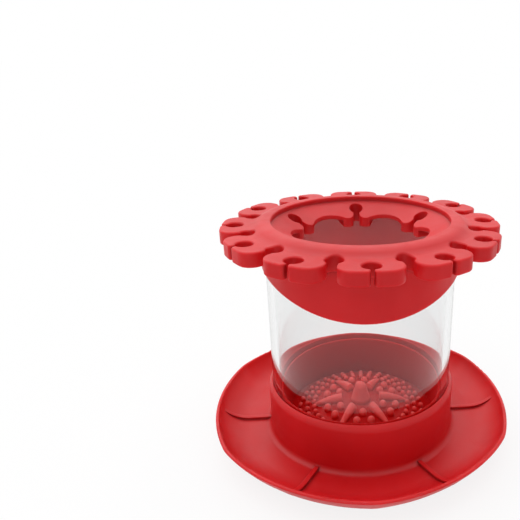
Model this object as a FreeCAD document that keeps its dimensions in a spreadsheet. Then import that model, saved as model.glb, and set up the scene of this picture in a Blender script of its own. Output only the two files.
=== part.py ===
import FreeCAD, Part
import Sketcher
import math
import os

# Brush washer cup in millimetres. +Z is up, the origin is the centre of the underside, the front is -Y.
SIZES = {
    # tray: saucer, ribs and collar
    "base_turn": 5.0,
    "saucer_reach": 24.35,
    "corner_bulge": 1.2,
    "corner_centre": 3.8,
    "saucer_floor": 4.0,
    "wall_overlap": 1.0,
    "foot_inset": 14.5,
    "dish_width": 14.0,
    "lip_height": 12.4,
    "lip_width": 1.4,
    "lip_rise": 0.6,
    "rib_width": 1.8,
    "rib_height": 1.2,
    "rib_inset": 2.5,
    "rib_sink": 0.3,
    "collar_wall": 1.7,
    "collar_height": 26.8,
    "collar_shoulder": 3.0,
    "collar_land": 0.3,
    "collar_foot_round": 2.5,
    "well_floor": 3.0,
    # clear tube
    "tube_radius": 39.85,
    "tube_wall": 3.0,
    "tube_length": 94.0,
    "tube_edge_round": 0.6,
    "tube_clearance": 0.1,
    # washing floor
    "pad_clearance": 0.4,
    "pad_edge": 2.5,
    "pad_crown": 6.8,
    "pad_wall": 0.9,
    "pad_wall_height": 22.0,
    "post_height": 9.3,
    "post_foot_radius": 4.7,
    "post_top_radius": 2.8,
    "fin_start": 8.8,
    "fin_middle": 16.0,
    "fin_end": 22.8,
    "fin_start_height": 4.4,
    "fin_middle_height": 3.4,
    "fin_end_height": 1.0,
    "fin_start_width": 3.4,
    "fin_middle_width": 2.5,
    "fin_end_width": 1.0,
    "big_nub_radius": 1.6,
    "big_nub_height": 3.3,
    "big_nub_inner": 11.2,
    "big_nub_outer": 16.5,
    "big_nub_spread": 11.0,
    "nub_radius": 1.1,
    "nub_height": 2.3,
    "nub_border": 7.95,
    "nub_ring_step": 3.3,
    # lid
    "lid_turn": 4.0,
    "ring_lap": 3.25,
    "ring_width": 4.2,
    "ring_rise": 3.0,
    "ring_slope": 3.4,
    "ring_round": 5.5,
    "rim_round": 0.5,
    "lobe_reach": 15.4,
    "lobe_top": 0.8,
    "lobe_thickness": 5.8,
    "lobe_corner": 5.5,
    "lobe_edge_round": 0.7,
    "gap_half_width": 2.0,
    "gap_hole_radius": 3.3,
    "gap_hole_offset": 5.1,
    "key_half_width": 0.6,
    "key_hole_radius": 3.4,
    "key_hole_inset": 5.7,
    "key_mouth_round": 1.5,
    "skirt_wall": 1.55,
    "skirt_depth": 25.6,
    "skirt_arch": 11.5,
    "skirt_trim": 0.4,
    "funnel_step": 2.2,
    "funnel_run": 10.8,
    "funnel_fall": 5.3,
    "funnel_thickness": 1.8,
    "funnel_clearance": 0.3,
    "scallop_depth": 2.9,
    "scallop_place": 18.0,
    "slot_half_width": 1.4,
    "slot_hole_radius": 3.1,
    "slot_hole_inset": 4.7,
    "slot_flare": 2.8,
    "slot_lip_depth": 4.2,
    "slot_lip_spread": 26.0,
}
SAUCER_SIDES = 6
FIN_COUNT = 6
NUBS_PER_RING = 36
NUB_RINGS = 3
LOBE_COUNT = 12
SLOT_COUNT = 6
# Radius of a nearly half-round arc, and of a slightly bulged wall, as shares of the chord.
HALF_ROUND = 0.52
BULGE = 1.35
SAME_PLACE = 1e-4


class Size:
    """A length as a number together with the sheet formula that it comes from."""

    def __init__(self, number, formula):
        self.number = number
        self.formula = formula

    def __add__(self, other):
        other = size(other)
        return Size(self.number + other.number, f"({self.formula} + {other.formula})")

    def __sub__(self, other):
        other = size(other)
        return Size(self.number - other.number, f"({self.formula} - {other.formula})")

    def __mul__(self, other):
        other = size(other)
        return Size(self.number * other.number, f"({self.formula} * {other.formula})")

    def __truediv__(self, other):
        other = size(other)
        return Size(self.number / other.number, f"({self.formula} / {other.formula})")

    def __neg__(self):
        return Size(-self.number, f"(-1 * {self.formula})")

    def root(self):
        return Size(math.sqrt(self.number), f"sqrt({self.formula})")


def size(value):
    if isinstance(value, Size):
        return value
    return Size(float(value), repr(float(value)))


def hypotenuse(across, up):
    return (across * across + up * up).root()


def other_leg(slant, leg):
    return (slant * slant - leg * leg).root()


doc = FreeCAD.newDocument("brush_washer_cup")
sheet = doc.addObject("Spreadsheet::Sheet", "dims")
for row, (name, value) in enumerate(SIZES.items(), start=1):
    sheet.set(f"A{row}", name)
    sheet.set(f"B{row}", str(value))
    sheet.setAlias(f"B{row}", name)
doc.recompute()
d = {name: Size(value, f"dims.{name}") for name, value in SIZES.items()}


def make_body(name, height, turn):
    body = doc.addObject("PartDesign::Body", name)
    body.Label = name
    spin = FreeCAD.Rotation(FreeCAD.Vector(0, 0, 1), turn.number)
    body.Placement = FreeCAD.Placement(FreeCAD.Vector(0, 0, height.number), spin)
    body.setExpression(".Placement.Base.z", height.formula)
    body.setExpression(".Placement.Rotation.Angle", turn.formula)
    return body


def origin_part(body, role):
    return next(part for part in body.Origin.OriginFeatures if part.Role == role)


def make_sketch(body, name, role, turn=0.0, swing=None, shift=None):
    """A sketch on one of the body's origin planes, turned in that plane, swung about its own upright axis
    or moved along its normal."""
    sketch = body.newObject("Sketcher::SketchObject", name)
    sketch.AttachmentSupport = [(origin_part(body, role), "")]
    sketch.MapMode = "FlatFace"
    offset = FreeCAD.Placement(FreeCAD.Vector(), FreeCAD.Rotation(FreeCAD.Vector(0, 0, 1), turn))
    if swing:
        offset.Rotation = FreeCAD.Rotation(FreeCAD.Vector(0, 1, 0), swing.number)
    if shift:
        offset.Base.z = shift.number
    sketch.AttachmentOffset = offset
    if swing:
        sketch.setExpression(".AttachmentOffset.Rotation.Angle", swing.formula)
    if shift:
        sketch.setExpression(".AttachmentOffset.Base.z", shift.formula)
    return sketch


def bound(sketch, constraint, value):
    index = sketch.addConstraint(constraint)
    sketch.setExpression(f"Constraints[{index}]", value.formula)


def pin(sketch, geometry, point, x, y):
    """Hold a point of the sketch at sheet-driven coordinates."""
    if x.number == 0:
        sketch.addConstraint(Sketcher.Constraint("PointOnObject", geometry, point, -2))
    else:
        bound(sketch, Sketcher.Constraint("DistanceX", -1, 1, geometry, point, x.number), x)
    if y.number == 0:
        sketch.addConstraint(Sketcher.Constraint("PointOnObject", geometry, point, -1))
    else:
        bound(sketch, Sketcher.Constraint("DistanceY", -1, 1, geometry, point, y.number), y)


def arc_middle(start, end, radius):
    """Middle point of the arc from start to end that turns left for a positive radius."""
    chord = end - start
    half = chord.Length / 2
    rise = abs(radius) - math.sqrt(max(radius * radius - half * half, 0.0))
    normal = FreeCAD.Vector(chord.y, -chord.x, 0).normalize()
    return (start + end) / 2 + normal * math.copysign(rise, radius)


def draw(sketch, path):
    """Closed outline through points. Each entry is (x, y), or (x, y, radius) where an arc leads on to the
    next point. The arc turns left for a positive radius."""
    points = [(size(entry[0]), size(entry[1])) for entry in path]
    spots = [FreeCAD.Vector(x.number, y.number, 0) for x, y in points]
    ends = []
    for i, entry in enumerate(path):
        start, end = spots[i], spots[(i + 1) % len(path)]
        if len(entry) > 2:
            radius = size(entry[2])
            middle = arc_middle(start, end, radius.number)
            index = sketch.addGeometry(Part.Arc(start, middle, end), False)
            first = 1 if sketch.getPoint(index, 1).distanceToPoint(start) < SAME_PLACE else 2
            ends.append((index, first, 3 - first))
        else:
            index = sketch.addGeometry(Part.LineSegment(start, end), False)
            ends.append((index, 1, 2))
    for i, (index, first, last) in enumerate(ends):
        follower, joint, _ = ends[(i + 1) % len(ends)]
        sketch.addConstraint(Sketcher.Constraint("Coincident", index, last, follower, joint))
    for (index, first, last), (x, y) in zip(ends, points):
        pin(sketch, index, first, x, y)
    for (index, first, last), entry in zip(ends, path):
        if len(entry) > 2:
            radius = size(entry[2])
            if radius.number < 0:
                radius = -radius
            bound(sketch, Sketcher.Constraint("Radius", index, radius.number), radius)


def feature(body, kind, name, profile, **settings):
    item = body.newObject(f"PartDesign::{kind}", name)
    item.Profile = profile
    for key, value in settings.items():
        setattr(item, key, value)
    profile.Visibility = False
    doc.recompute()
    return item


def revolve(body, name, profile, axis=None):
    axis = axis or (origin_part(body, "Z_Axis"), [""])
    return feature(body, "Revolution", name, profile, ReferenceAxis=axis, Angle=360.0)


def revolve_part(body, name, profile, angle):
    """A sector round the Z axis, half of it on each side of its profile."""
    item = revolve(body, name, profile)
    item.Midplane = True
    item.Angle = angle.number
    item.setExpression("Angle", angle.formula)
    doc.recompute()
    return item


def cut_through(body, name, profile):
    return feature(body, "Pocket", name, profile, Type=1, Midplane=True)


def around(body, name, originals, count):
    pattern = body.newObject("PartDesign::PolarPattern", name)
    pattern.Originals = originals
    pattern.Axis = (origin_part(body, "Z_Axis"), [""])
    pattern.Angle = 360.0
    pattern.Occurrences = count
    body.Tip = pattern
    doc.recompute()
    return pattern


def round_edges(body, name, base, edges, radius):
    item = body.newObject("PartDesign::Fillet", name)
    item.Base = (base, edges)
    item.Radius = radius.number
    item.setExpression("Radius", radius.formula)
    body.Tip = item
    doc.recompute()
    return item


def ring_edges(item, radius, height):
    """Names of the item's circular edges round the Z axis at a radius and height."""
    names = []
    for i, edge in enumerate(item.Shape.Edges, start=1):
        curve = edge.Curve
        if isinstance(curve, Part.Circle) and abs(curve.Radius - radius.number) < SAME_PLACE:
            centre = FreeCAD.Vector(0, 0, height.number)
            if curve.Center.distanceToPoint(centre) < SAME_PLACE:
                names.append(f"Edge{i}")
    return names


tube_seat = d["well_floor"]
tube_bore = d["tube_radius"] - d["tube_wall"]
sleeve = d["tube_radius"] + d["tube_clearance"]
tube_top = tube_seat + d["tube_length"]
no_turn = size(0)

# Tray: floor and collar, turned about the Z axis.
tray = make_body("base_tray", size(0), d["base_turn"])
collar_outer = sleeve + d["collar_wall"]
collar_foot = d["collar_foot_round"]
side = collar_outer + d["saucer_reach"]
corner = side + d["corner_bulge"]
dish_start = side - d["dish_width"]
core_radius = dish_start - d["wall_overlap"]
wall_start = core_radius - d["wall_overlap"] - d["corner_bulge"]
shoulder = d["collar_shoulder"]
shoulder_width = d["collar_wall"] - d["collar_land"]
shoulder_radius = (shoulder_width * shoulder_width + shoulder * shoulder) / (shoulder_width * 2)
core = make_sketch(tray, "core_profile", "XZ_Plane")
draw(core, [
    (0, 0),
    (core_radius, 0),
    (core_radius, d["saucer_floor"]),
    (collar_outer + collar_foot, d["saucer_floor"], -collar_foot),
    (collar_outer, d["saucer_floor"] + collar_foot),
    (collar_outer, d["collar_height"] - shoulder, shoulder_radius),
    (sleeve + d["collar_land"], d["collar_height"]),
    (sleeve, d["collar_height"] - d["collar_land"]),
    (sleeve, d["well_floor"]),
    (0, d["well_floor"]),
])
revolve(tray, "core", core)

# Saucer wall: one section swept round a six-sided outline of tangent arcs.
spread = wall_start - d["corner_centre"]
half_side = math.pi / SAUCER_SIDES
swing = size(math.cos(half_side))
span = side - corner + spread
side_centre = (spread * spread - span * span) / (span * 2 - spread * swing * 2)
corner_radius = corner - spread
side_radius = side + side_centre
meet_x = spread + side_centre * swing
meet_y = side_centre * math.sin(half_side)
meet_span = hypotenuse(meet_x, meet_y)
joint_x = spread + corner_radius * meet_x / meet_span
joint_y = corner_radius * meet_y / meet_span


def outline_points():
    """Joints of the corner arcs and side arcs, going round from the first corner."""
    path = []
    for k in range(SAUCER_SIDES):
        turn = (2 * k + 1) * half_side
        c, s = math.cos(turn), math.sin(turn)
        path.append((joint_x * c + joint_y * s, joint_x * s - joint_y * c, corner_radius))
        path.append((joint_x * c - joint_y * s, joint_x * s + joint_y * c, side_radius))
    return path


outline = make_sketch(tray, "saucer_outline", "XY_Plane")
draw(outline, outline_points())
foot = side - d["foot_inset"]
lip_inner = side - d["lip_width"]
lip_crest = d["lip_height"] + d["lip_rise"]
dish_run = d["dish_width"] - d["lip_width"]
dish_climb = lip_crest - d["saucer_floor"]
dish_radius = (dish_run * dish_run + dish_climb * dish_climb) / (dish_climb * 2)
section = make_sketch(tray, "saucer_section", "XZ_Plane")
draw(section, [
    (wall_start, 0),
    (foot, 0, hypotenuse(d["foot_inset"], d["lip_height"]) * BULGE),
    (side, d["lip_height"], hypotenuse(d["lip_width"], d["lip_rise"]) * HALF_ROUND),
    (lip_inner, lip_crest, -dish_radius),
    (dish_start, d["saucer_floor"]),
    (wall_start, d["saucer_floor"]),
])
saucer = tray.newObject("PartDesign::AdditivePipe", "saucer_wall")
saucer.Profile = section
saucer.Spine = (outline, [])
tray.Tip = saucer
doc.recompute()

# Radial ribs that follow the dish and sink into it under the lip.
rib_end = side - d["rib_inset"]
rib_run = rib_end - dish_start
rib_end_height = d["saucer_floor"] + dish_radius - other_leg(dish_radius, rib_run) - d["rib_sink"]
rib_top = d["saucer_floor"] + d["rib_height"]
rib_root = d["saucer_floor"] - d["rib_height"]
root_radius = dish_radius + d["rib_height"]
root_end = d["saucer_floor"] + dish_radius - other_leg(root_radius, rib_run)
rib_climb = rib_end_height - rib_top
rib_radius = (rib_run * rib_run + rib_climb * rib_climb) / (rib_climb * 2)
rib = make_sketch(tray, "rib_profile", "XZ_Plane")
draw(rib, [
    (collar_outer - d["collar_wall"] / 2, rib_root),
    (dish_start, rib_root, root_radius),
    (rib_end, root_end),
    (rib_end, rib_end_height, -rib_radius),
    (dish_start, rib_top),
    (collar_outer - d["collar_wall"] / 2, rib_top),
])
rib_pad = feature(tray, "Pad", "rib", rib, Midplane=True, Length=d["rib_width"].number)
rib_pad.setExpression("Length", d["rib_width"].formula)
around(tray, "ribs", [rib_pad], SAUCER_SIDES)

# Clear tube that stands in the collar.
tube = make_body("water_tube", tube_seat, no_turn)
tube_profile = make_sketch(tube, "tube_profile", "XZ_Plane")
soft = d["tube_edge_round"]
draw(tube_profile, [
    (tube_bore + soft, 0),
    (d["tube_radius"] - soft, 0, soft),
    (d["tube_radius"], soft),
    (d["tube_radius"], d["tube_length"] - soft, soft),
    (d["tube_radius"] - soft, d["tube_length"]),
    (tube_bore + soft, d["tube_length"], soft),
    (tube_bore, d["tube_length"] - soft),
    (tube_bore, soft, soft),
])
revolve(tube, "tube", tube_profile)

# Washing floor inside the tube: disc, wall, post, fins and nubs.
# The tube stands between the wall and the collar.
pad = make_body("scrub_pad", d["well_floor"], d["base_turn"])
pad_radius = tube_bore - d["pad_clearance"]
crown = d["pad_crown"]
dome_radius = (pad_radius * pad_radius + crown * crown) / (crown * 2)
root = d["pad_edge"] / 2


def dome(place):
    """Height of the domed floor at a distance from the axis."""
    return d["pad_edge"] + crown - dome_radius + other_leg(dome_radius, place)


post_top = d["pad_edge"] + crown + d["post_height"]
post_shoulder = post_top - d["post_top_radius"]
wall_inner = pad_radius - d["pad_wall"]
pad_profile = make_sketch(pad, "pad_profile", "XZ_Plane")
draw(pad_profile, [
    (0, 0),
    (pad_radius, 0),
    (pad_radius, d["pad_wall_height"], d["pad_wall"] * HALF_ROUND),
    (wall_inner, d["pad_wall_height"]),
    (wall_inner, dome(wall_inner), dome_radius),
    (d["post_foot_radius"], dome(d["post_foot_radius"])),
    (d["post_top_radius"], post_shoulder, d["post_top_radius"]),
    (0, post_top),
])
revolve(pad, "pad_and_post", pad_profile)

fin_sections = []
for place in ("start", "middle", "end"):
    half = d[f"fin_{place}_width"] / 2
    flank = dome(d[f"fin_{place}"]) + d[f"fin_{place}_height"] - half
    cut = make_sketch(pad, f"fin_{place}_section", "YZ_Plane", shift=d[f"fin_{place}"])
    draw(cut, [
        (-half, root),
        (half, root),
        (half, flank, half * 2 * HALF_ROUND),
        (-half, flank),
    ])
    fin_sections.append(cut)
fin = pad.newObject("PartDesign::AdditiveLoft", "fin")
fin.Profile = fin_sections[0]
fin.Sections = fin_sections[1:]
pad.Tip = fin
doc.recompute()
around(pad, "fins", [fin], FIN_COUNT)


def nubs(name, place, radius, height, swing, count):
    """A domed peg on the pad, turned to its place, and its copies round the axis."""
    shoulder = dome(place) + height - radius
    profile = make_sketch(pad, f"{name}_profile", "XZ_Plane", swing=swing)
    draw(profile, [
        (place, root),
        (place + radius, root),
        (place + radius, shoulder, radius),
        (place, shoulder + radius),
    ])
    peg = revolve(pad, name, profile, (profile, ["Edge4"]))
    around(pad, f"{name}_ring", [peg], count)


mid_sector = size(180.0 / FIN_COUNT)
big = (d["big_nub_radius"], d["big_nub_height"])
nubs("big_nub_a", d["big_nub_inner"], *big, mid_sector, FIN_COUNT)
nubs("big_nub_b", d["big_nub_outer"], *big, mid_sector + d["big_nub_spread"], FIN_COUNT)
nubs("big_nub_c", d["big_nub_outer"], *big, mid_sector - d["big_nub_spread"], FIN_COUNT)
half_step = size(180.0 / NUBS_PER_RING)
for ring in range(NUB_RINGS):
    place = pad_radius - d["nub_border"] - d["nub_ring_step"] * ring
    nubs(f"nub_{ring + 1}", place, d["nub_radius"], d["nub_height"], half_step, NUBS_PER_RING)

# Lid: ring, lobe plate, skirt and funnel, turned about the Z axis. Its zero height is the tube's upper edge.
lid = make_body("brush_lid", tube_top, d["lid_turn"])
ring_inner = sleeve - d["ring_lap"]
ring_outer = ring_inner + d["ring_width"]
plate_start = ring_outer + d["ring_slope"]
lobe_under = d["lobe_top"] - d["lobe_thickness"]
skirt_outer = sleeve + d["skirt_wall"]
lobe_radius = skirt_outer + d["lobe_reach"]
funnel_outer = tube_bore - d["funnel_clearance"]
funnel_lip = ring_inner - d["funnel_run"]
step_floor = d["ring_rise"] - d["funnel_step"]
skirt_end = -d["skirt_depth"] - d["skirt_trim"]


def funnel_top(place):
    """Height of the funnel's upper face at a distance from the axis."""
    return step_floor - (ring_inner - place) * d["funnel_fall"] / d["funnel_run"]


lid_profile = make_sketch(lid, "lid_profile", "XZ_Plane")
draw(lid_profile, [
    (funnel_lip, funnel_top(funnel_lip)),
    (ring_inner, step_floor),
    (ring_inner, d["ring_rise"]),
    (ring_outer, d["ring_rise"]),
    (plate_start, d["lobe_top"]),
    (lobe_radius, d["lobe_top"]),
    (lobe_radius, lobe_under),
    (skirt_outer, lobe_under),
    (skirt_outer, skirt_end),
    (sleeve, skirt_end),
    (sleeve, 0),
    (funnel_outer, 0),
    (funnel_outer, funnel_top(funnel_outer) - d["funnel_thickness"]),
    (funnel_lip, funnel_top(funnel_lip) - d["funnel_thickness"]),
])
lid_turned = revolve(lid, "lid_body", lid_profile)
soft_rings = ring_edges(lid_turned, ring_outer, d["ring_rise"])
soft_rings += ring_edges(lid_turned, plate_start, d["lobe_top"])
rounded = round_edges(lid, "ring_rounds", lid_turned, soft_rings, d["ring_round"])
round_edges(lid, "rim_rounds", rounded, ring_edges(rounded, ring_inner, d["ring_rise"]), d["rim_round"])

# Skirt edge: trimmed to an arch that is deepest at the front and back.
arch_half = skirt_outer + d["skirt_wall"]
arch_radius = (skirt_outer * skirt_outer + d["skirt_arch"] * d["skirt_arch"]) / (d["skirt_arch"] * 2)
arch_rise = arch_radius - other_leg(arch_radius, arch_half)
arch = make_sketch(lid, "arch_outline", "XZ_Plane")
draw(arch, [
    (-arch_half, -d["skirt_depth"] - d["skirt_arch"]),
    (arch_half, -d["skirt_depth"] - d["skirt_arch"]),
    (arch_half, arch_rise - d["skirt_depth"], -arch_radius),
    (-arch_half, arch_rise - d["skirt_depth"]),
])
cut_through(lid, "arch", arch)

# Sockets under the funnel, which the inner brush slots are cut through.
slot_turn = 180.0 / SLOT_COUNT
half_funnel = d["funnel_thickness"] / 2
lip_low = funnel_top(funnel_lip) - d["slot_lip_depth"]
lip_end = funnel_outer - d["funnel_clearance"]
lip_profile = make_sketch(lid, "slot_lip_profile", "XZ_Plane", swing=size(slot_turn))
draw(lip_profile, [
    (funnel_lip, lip_low),
    (lip_end, lip_low),
    (lip_end, funnel_top(lip_end) - half_funnel),
    (funnel_lip, funnel_top(funnel_lip) - half_funnel),
])
slot_lip = revolve_part(lid, "slot_lip", lip_profile, d["slot_lip_spread"])
around(lid, "slot_lips", [slot_lip], SLOT_COUNT)


def hole(name, place, radius, turn):
    """A round hole through the lid on a line from the axis."""
    sketch = make_sketch(lid, f"{name}_circle", "XY_Plane", turn=turn)
    circle = Part.Circle(FreeCAD.Vector(place.number, 0, 0), FreeCAD.Vector(0, 0, 1), radius.number)
    index = sketch.addGeometry(circle, False)
    pin(sketch, index, 3, place, size(0))
    bound(sketch, Sketcher.Constraint("Radius", index, radius.number), radius)
    return cut_through(lid, name, sketch)


def outward_slot(name, start, half_width, corner, turn):
    """A slot from a hole to the lobe's edge, whose mouth flares with corners tangent to that edge."""
    inset = lobe_radius - corner
    centre_y = half_width + corner
    centre_x = other_leg(inset, centre_y)
    end_x = centre_x * lobe_radius / inset
    end_y = centre_y * lobe_radius / inset
    beyond = lobe_radius + corner
    sketch = make_sketch(lid, f"{name}_outline", "XY_Plane", turn=turn)
    draw(sketch, [
        (start, -half_width),
        (centre_x, -half_width, -corner),
        (end_x, -end_y),
        (beyond, -end_y),
        (beyond, end_y),
        (end_x, end_y, -corner),
        (centre_x, half_width),
        (start, half_width),
    ])
    return cut_through(lid, name, sketch)


half_pitch = 180.0 / LOBE_COUNT
gap_place = skirt_outer + d["gap_hole_offset"]
gap_cuts = [
    hole("gap_hole", gap_place, d["gap_hole_radius"], half_pitch),
    outward_slot("gap_slot", gap_place, d["gap_half_width"], d["lobe_corner"], half_pitch),
]
around(lid, "gaps", gap_cuts, LOBE_COUNT)
key_place = lobe_radius - d["key_hole_inset"]
key_cuts = [
    hole("key_hole", key_place, d["key_hole_radius"], 0.0),
    outward_slot("key_slot", key_place, d["key_half_width"], d["key_mouth_round"], 0.0),
]
around(lid, "keys", key_cuts, LOBE_COUNT)

# Funnel edge: six scallops, and between them six brush slots with flared lips.
scallop_radius = funnel_lip + d["scallop_depth"] - d["scallop_place"]
scallop = hole("scallop", d["scallop_place"], scallop_radius, 0.0)
around(lid, "scallops", [scallop], SLOT_COUNT)
slot_place = ring_inner - d["slot_hole_inset"]
flare = d["slot_flare"]
flare_half = d["slot_half_width"] + flare
flare_start = other_leg(funnel_lip, flare_half)
flare_end = flare_start + flare
slot_outline = make_sketch(lid, "slot_outline", "XY_Plane", turn=slot_turn)
draw(slot_outline, [
    (flare_start - flare, -flare_half),
    (flare_start, -flare_half, -flare),
    (flare_end, -d["slot_half_width"]),
    (slot_place, -d["slot_half_width"]),
    (slot_place, d["slot_half_width"]),
    (flare_end, d["slot_half_width"], -flare),
    (flare_start, flare_half),
    (flare_start - flare, flare_half),
])
slot_cuts = [
    hole("slot_hole", slot_place, d["slot_hole_radius"], slot_turn),
    cut_through(lid, "slot", slot_outline),
]
around(lid, "slots", slot_cuts, SLOT_COUNT)


def lobe_rim(item, height):
    """Names of the edges round the lobes at a height, without the circles that run across all the lobes."""
    names = []
    for i, edge in enumerate(item.Shape.Edges, start=1):
        middle = edge.valueAt((edge.FirstParameter + edge.LastParameter) / 2)
        spots = [middle] + [vertex.Point for vertex in edge.Vertexes]
        level = all(abs(spot.z - height.number) < SAME_PLACE for spot in spots)
        reach = math.hypot(middle.x, middle.y)
        across = math.hypot(spots[1].x, spots[1].y) - reach
        inside = abs(across) < SAME_PLACE and reach < gap_place.number
        if level and reach > skirt_outer.number + SAME_PLACE and not inside:
            names.append(f"Edge{i}")
    return names


lobe_edges = lobe_rim(lid.Tip, d["lobe_top"]) + lobe_rim(lid.Tip, lobe_under)
round_edges(lid, "lobe_rounds", lid.Tip, lobe_edges, d["lobe_edge_round"])

os.makedirs("parts", exist_ok=True)
for item in doc.Objects:
    if "Invalid" in item.State or "Error" in item.State:
        raise RuntimeError(f"{item.Name} is not up to date: {item.State}")
for body in (tray, pad, tube, lid):
    shape = body.Shape
    if shape.isNull() or not shape.isValid() or len(shape.Solids) != 1:
        raise RuntimeError(f"{body.Label} is not one valid solid")
    shape.exportStep(f"parts/{body.Label}.step")
    print(body.Label, round(shape.Volume, 1))
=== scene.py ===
import math

import bpy
from mathutils import Euler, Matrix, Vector


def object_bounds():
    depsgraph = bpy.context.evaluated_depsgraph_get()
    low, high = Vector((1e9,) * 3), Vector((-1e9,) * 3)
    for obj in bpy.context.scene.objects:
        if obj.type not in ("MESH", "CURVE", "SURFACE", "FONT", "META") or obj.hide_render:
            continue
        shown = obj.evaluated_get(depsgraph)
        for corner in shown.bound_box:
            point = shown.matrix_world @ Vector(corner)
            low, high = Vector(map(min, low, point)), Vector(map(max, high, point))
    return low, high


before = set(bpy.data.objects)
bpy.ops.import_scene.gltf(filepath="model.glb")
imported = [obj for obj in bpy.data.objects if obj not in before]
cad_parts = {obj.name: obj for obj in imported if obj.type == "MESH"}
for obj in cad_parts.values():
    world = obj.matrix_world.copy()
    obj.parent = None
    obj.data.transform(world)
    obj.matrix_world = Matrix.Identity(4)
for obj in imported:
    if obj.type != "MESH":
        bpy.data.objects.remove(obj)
cad_low, cad_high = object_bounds()

# Lengths are in metres.

# Camera of the photograph: place, pitch, and focal length and principal point in pixels.
IMAGE_SIDE = 520
CAMERA_PLACE = Vector((0.0, -0.21914, 0.16013))
CAMERA_PITCH = math.radians(21.93)
FOCAL_PIXELS = 550.1
CENTRE_X, CENTRE_Y = 360.76, 280.34
SENSOR_WIDTH = 36.0
CLIP_START = 0.01

# Washing floor: its radius, the height of its edge, the rise of its dome and its wall.
PAD_RADIUS = 0.03645
PAD_EDGE_HEIGHT = 0.0055
PAD_CROWN = 0.0068
PAD_WALL = 0.0009
DOME_RADIUS = (PAD_RADIUS ** 2 + PAD_CROWN ** 2) / (2 * PAD_CROWN)
DOME_CENTRE = (0.0, 0.0, PAD_EDGE_HEIGHT + PAD_CROWN - DOME_RADIUS)
WALL_RADIUS = PAD_RADIUS - PAD_WALL

WHITE = (1.0, 1.0, 1.0, 1.0)
SILICONE_RED = (0.68, 0.010, 0.014, 1.0)
SILICONE_DEEP = (0.60, 0.006, 0.009, 1.0)
# Painted shade, put into the silicone's colour in its recesses.
SILICONE_PAINTED_SHADE = (0.26, 0.001, 0.002, 1.0)
# Washing floor: the silicone red painted lighter, as light and highlight, on its raised parts, and darker, as
# shade, on its dome and wall.
PAD_PAINTED_LIGHT_RED = (0.95, 0.13, 0.12, 1.0)
PAD_PAINTED_LIGHT_DEEP = (0.88, 0.10, 0.095, 1.0)
PAD_PAINTED_SHADE = (0.58, 0.0, 0.0, 1.0)
CLEAR_TINT = (0.905, 0.91, 0.91, 1.0)
CLEAR_PATH = (0.97, 0.975, 0.975, 1.0)
FLOOR_COLOUR = (0.9, 0.9, 0.9, 1.0)

# Where painted shade darkens the silicone in its recesses: reach of the search for a recess, and openness
# from recess to open.
RECESS_REACH = 0.003
RECESS_SAMPLES = 8
RECESS_OPENNESS = (0.40, 0.92)
# Height above the dome, and distance inside the wall, over which the washing floor changes from painted shade
# to painted light.
RAISED_FROM, RAISED_TO = 0.0004, 0.0020
WALL_FADE_FROM, WALL_FADE_TO = 0.0010, 0.0002

# Silicone: noise scales per metre, the part of the noise that is used, and what it drives.
DRIFT_SCALE, DRIFT_SPREAD = 28.0, (0.35, 0.65)
SHEEN_SCALE, SHEEN_SPREAD = 160.0, (0.3, 0.7)
SILICONE_ROUGHNESS = (0.40, 0.50)
GRAIN_SCALE, GRAIN_ROUGHNESS = 2600.0, 0.6
GRAIN_STRENGTH, GRAIN_DEPTH = 0.10, 0.0002
SILICONE_DETAIL = 3.0
EDGE_SAMPLES = 6
SILICONE_IOR = 1.41
GLOW_WEIGHT = 0.8
GLOW_RADIUS = (1.0, 0.25, 0.2)
GLOW_SCALE = 0.003

# Clear plastic: the same for its smear and its waves.
SMEAR_SCALE, SMEAR_DETAIL, SMEAR_SPREAD = 60.0, 4.0, (0.3, 0.7)
CLEAR_ROUGHNESS = (0.0, 0.03)
WAVE_SCALE, WAVE_DETAIL = 45.0, 1.0
WAVE_STRENGTH, WAVE_DEPTH = 0.03, 0.001
CLEAR_IOR = 1.40

WORLD_STRENGTH = 0.51
SUN_STRENGTH = 2.0
SUN_SPREAD = math.radians(90)
SUN_TILT = Euler((math.radians(-14), math.radians(-14), 0.0))
FLOOR_SIDE = 30.0
FLOOR_GAP = 0.0001
# Share of plain white in the floor as it is seen, which keeps its shadow faint.
FLOOR_WHITE = 0.85


class Graph:
    """Short forms for building a node tree."""

    def __init__(self, tree):
        self.tree = tree
        self.tree.nodes.clear()

    def node(self, kind, inputs=None, **settings):
        """A new node. An input is a value, or the output socket that feeds it."""
        item = self.tree.nodes.new(kind)
        for key, value in settings.items():
            setattr(item, key, value)
        for key, value in (inputs or {}).items():
            if isinstance(value, bpy.types.NodeSocket):
                self.tree.links.new(value, item.inputs[key])
            else:
                item.inputs[key].default_value = value
        return item

    def math(self, operation, first, second):
        return self.node("ShaderNodeMath", {0: first, 1: second}, operation=operation).outputs[0]

    def noise(self, place, scale, detail, roughness=0.5):
        inputs = {"Vector": place, "Scale": scale, "Detail": detail, "Roughness": roughness}
        return self.node("ShaderNodeTexNoise", inputs).outputs["Fac"]

    def ramp(self, factor, low, high, start=0.0, end=1.0):
        """A factor from low..high mapped to start..end, held at its ends."""
        inputs = {"Value": factor, "From Min": low, "From Max": high, "To Min": start, "To Max": end}
        return self.node("ShaderNodeMapRange", inputs).outputs["Result"]

    def blend(self, factor, first, second):
        """A colour between first and second. 0, 6 and 7 are the colour sockets of the mix node."""
        return self.node("ShaderNodeMix", {0: factor, 6: first, 7: second}, data_type="RGBA").outputs[2]


def new_material(name):
    material = bpy.data.materials.new(name)
    material.use_nodes = True
    return material, Graph(material.node_tree)


def place_of(graph):
    return graph.node("ShaderNodeTexCoord").outputs["Object"]


def unshaded_share(graph):
    """Mask of painted shade: 0 in narrow recesses, where shade is painted into the colour, and 1 on open
    faces.
    """
    found = graph.node("ShaderNodeAmbientOcclusion", {"Distance": RECESS_REACH},
                       samples=RECESS_SAMPLES, only_local=True)
    return graph.ramp(found.outputs["AO"], *RECESS_OPENNESS)


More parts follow.
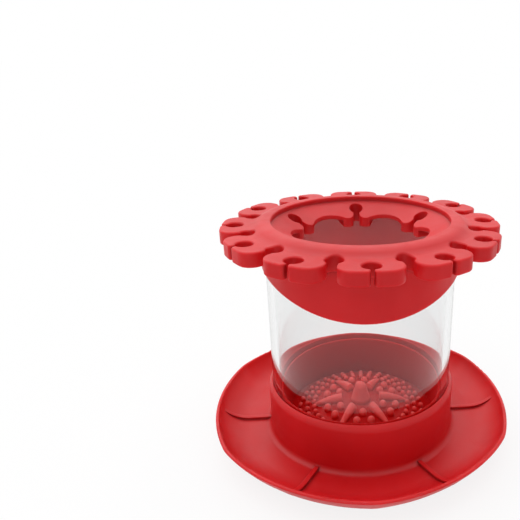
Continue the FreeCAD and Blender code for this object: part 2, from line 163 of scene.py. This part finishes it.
def raised_lit_share(graph):
    """1 on the post, fins and nubs of the washing floor, which are painted as lit, and 0 on its dome and its
    wall, which are painted as shaded.
    """
    place = place_of(graph)
    reach = graph.node("ShaderNodeVectorMath", {0: place, 1: DOME_CENTRE}, operation="DISTANCE")
    raised = graph.ramp(reach.outputs["Value"], DOME_RADIUS + RAISED_FROM, DOME_RADIUS + RAISED_TO)
    level = graph.node("ShaderNodeVectorMath", {0: place, 1: (1.0, 1.0, 0.0)}, operation="MULTIPLY")
    radius = graph.node("ShaderNodeVectorMath", {0: level.outputs["Vector"]}, operation="LENGTH")
    fade = (WALL_RADIUS - WALL_FADE_FROM, WALL_RADIUS - WALL_FADE_TO)
    inside = graph.ramp(radius.outputs["Value"], *fade, start=1.0, end=0.0)
    return graph.math("MULTIPLY", raised, inside)


def silicone(name, soft_edge, gloss, share, bright, deep, low):
    """Matt moulded silicone: fine grain, colour drift, rounded edges, and painted shade where share is 0."""
    material, graph = new_material(name)
    place = place_of(graph)
    drift = graph.ramp(graph.noise(place, DRIFT_SCALE, SILICONE_DETAIL), *DRIFT_SPREAD)
    # Painted shade: where share is 0 the colour turns to low, the shaded tone.
    colour = graph.blend(share(graph), low, graph.blend(drift, deep, bright))
    sheen = graph.noise(place, SHEEN_SCALE, SILICONE_DETAIL)
    edge = graph.node("ShaderNodeBevel", {"Radius": soft_edge}, samples=EDGE_SAMPLES)
    bump = graph.node("ShaderNodeBump", {
        "Strength": GRAIN_STRENGTH,
        "Distance": GRAIN_DEPTH,
        "Height": graph.noise(place, GRAIN_SCALE, SILICONE_DETAIL, GRAIN_ROUGHNESS),
        "Normal": edge.outputs["Normal"],
    })
    shader = graph.node("ShaderNodeBsdfPrincipled", {
        "Base Color": colour,
        "Roughness": graph.ramp(sheen, *SHEEN_SPREAD, *SILICONE_ROUGHNESS),
        "Normal": bump.outputs["Normal"],
        "IOR": SILICONE_IOR,
        "Specular IOR Level": gloss,
        "Subsurface Weight": GLOW_WEIGHT,
        "Subsurface Radius": GLOW_RADIUS,
        "Subsurface Scale": GLOW_SCALE,
    })
    graph.node("ShaderNodeOutputMaterial", {"Surface": shader.outputs[0]})
    return material


def clear_plastic(name):
    """Clear moulded plastic with a faint unevenness from its mould."""
    material, graph = new_material(name)
    place = place_of(graph)
    smear = graph.noise(place, SMEAR_SCALE, SMEAR_DETAIL)
    bump = graph.node("ShaderNodeBump", {
        "Strength": WAVE_STRENGTH,
        "Distance": WAVE_DEPTH,
        "Height": graph.noise(place, WAVE_SCALE, WAVE_DETAIL),
    })
    shader = graph.node("ShaderNodeBsdfPrincipled", {
        "Base Color": CLEAR_TINT,
        "Roughness": graph.ramp(smear, *SMEAR_SPREAD, *CLEAR_ROUGHNESS),
        "Normal": bump.outputs["Normal"],
        "IOR": CLEAR_IOR,
        "Transmission Weight": 1.0,
    })
    # Light on its way to or from what stands behind the clear wall goes straight through it.
    path = graph.node("ShaderNodeLightPath").outputs
    lit = graph.math("MAXIMUM", path["Is Shadow Ray"], path["Is Diffuse Ray"])
    straight = graph.node("ShaderNodeBsdfTransparent", {"Color": CLEAR_PATH})
    both = graph.node("ShaderNodeMixShader", {0: lit, 1: shader.outputs[0], 2: straight.outputs[0]})
    graph.node("ShaderNodeOutputMaterial", {"Surface": both.outputs[0]})
    return material


def seen_directly(graph):
    """1 for rays that come from the camera straight, by gloss or through the clear tube, and 0 for others."""
    path = graph.node("ShaderNodeLightPath").outputs
    direct = graph.math("MAXIMUM", path["Is Camera Ray"], path["Is Glossy Ray"])
    direct = graph.math("MAXIMUM", direct, path["Is Transmission Ray"])
    return graph.math("MULTIPLY", direct, graph.math("LESS_THAN", path["Diffuse Depth"], 0.5))


def floor_material(name):
    """Pale floor that is partly plain white where it is seen, and lights the part as a matt floor."""
    material, graph = new_material(name)
    diffuse = graph.node("ShaderNodeBsdfDiffuse", {"Color": FLOOR_COLOUR})
    share = graph.math("MULTIPLY", seen_directly(graph), FLOOR_WHITE)
    white = graph.node("ShaderNodeEmission", {"Color": WHITE, "Strength": 1.0})
    both = graph.node("ShaderNodeMixShader", {0: share, 1: diffuse.outputs[0], 2: white.outputs[0]})
    graph.node("ShaderNodeOutputMaterial", {"Surface": both.outputs[0]})
    return material


def dress(node, material):
    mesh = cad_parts[node].data
    mesh.materials.clear()
    mesh.materials.append(material)


# The tray and lid get painted shade in their recesses.
red = silicone("red_silicone", soft_edge=0.0005, gloss=0.5, share=unshaded_share,
               bright=SILICONE_RED, deep=SILICONE_DEEP, low=SILICONE_PAINTED_SHADE)
# The washing floor gets painted light on its nubs and fins and painted shade on its dome between them.
pad_painted_light_silicone = silicone("red_silicone_pad_painted_light", soft_edge=0.0003, gloss=0.2, share=raised_lit_share,
                   bright=PAD_PAINTED_LIGHT_RED, deep=PAD_PAINTED_LIGHT_DEEP, low=PAD_PAINTED_SHADE)
dress("base_tray", red)
dress("brush_lid", red)
dress("scrub_pad", pad_painted_light_silicone)
dress("water_tube", clear_plastic("clear_plastic"))

# Floor, just under the tray.
bpy.ops.mesh.primitive_plane_add(size=FLOOR_SIDE, location=(0.0, 0.0, cad_low.z - FLOOR_GAP))
floor = bpy.context.object
floor.name = "floor"
floor.data.materials.append(floor_material("floor"))

# World and one broad soft light from above.
world = bpy.data.worlds.new("studio")
bpy.context.scene.world = world
world.use_nodes = True
sky = Graph(world.node_tree)
strength = sky.ramp(seen_directly(sky), 0.0, 1.0, WORLD_STRENGTH, 1.0)
background = sky.node("ShaderNodeBackground", {"Color": WHITE, "Strength": strength})
sky.node("ShaderNodeOutputWorld", {"Surface": background.outputs[0]})

lamp = bpy.data.lights.new("key", "SUN")
lamp.energy = SUN_STRENGTH
lamp.angle = SUN_SPREAD
key = bpy.data.objects.new("key", lamp)
key.rotation_euler = SUN_TILT
bpy.context.scene.collection.objects.link(key)

lens = bpy.data.cameras.new("photo_camera")
lens.sensor_width = SENSOR_WIDTH
lens.lens = FOCAL_PIXELS * SENSOR_WIDTH / IMAGE_SIDE
lens.shift_x = (IMAGE_SIDE / 2 - CENTRE_X) / IMAGE_SIDE
lens.shift_y = (CENTRE_Y - IMAGE_SIDE / 2) / IMAGE_SIDE
lens.clip_start = CLIP_START
camera = bpy.data.objects.new("photo_camera", lens)
camera.location = CAMERA_PLACE
camera.rotation_euler = (math.pi / 2 - CAMERA_PITCH, 0.0, 0.0)
bpy.context.scene.collection.objects.link(camera)
bpy.context.scene.camera = camera
bpy.context.scene.view_settings.view_transform = "Standard"
